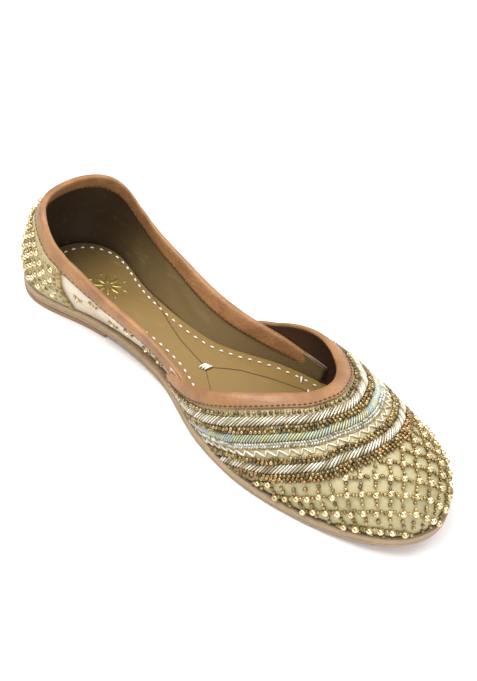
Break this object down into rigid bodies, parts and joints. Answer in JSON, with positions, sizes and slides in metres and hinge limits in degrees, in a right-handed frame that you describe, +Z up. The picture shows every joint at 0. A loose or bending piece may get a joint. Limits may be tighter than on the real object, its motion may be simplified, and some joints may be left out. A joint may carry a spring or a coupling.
{
  "type": "mojari shoe",
  "caption": "Flat slip-on mojari with an open collar, a beaded vamp over a tucked-in quarter, folded leather bindings and a flat leather sole.",
  "frame": {"origin": "on the floor, midway along the sole and on its centre line", "axes": "+X from heel to toe, +Z up from the floor, +Y to the left of someone looking along +X"},
  "size_m": [0.2453, 0.082, 0.0527],
  "materials": {
    "sole_leather": "vegetable-tanned, edge burnished",
    "lift_leather": "vegetable-tanned, matt",
    "sock_leather": "olive-gold, satin, hand stitched",
    "embroidered_upper": "green-gold silk and ivory satin leather, beaded and couched",
    "binding_leather": "tan, fine grain, folded and stitched",
    "beaded_cloth": "green-gold silk, densely beaded"
  },
  "bodies": {
    "root": {"outsole": "sole_leather", "heel_lift": "lift_leather", "insole": "sock_leather", "upper": "embroidered_upper", "vamp_binding": "binding_leather", "quarter_binding": "binding_leather", "heel_counter": "beaded_cloth"}
  },
  "joints": []
}
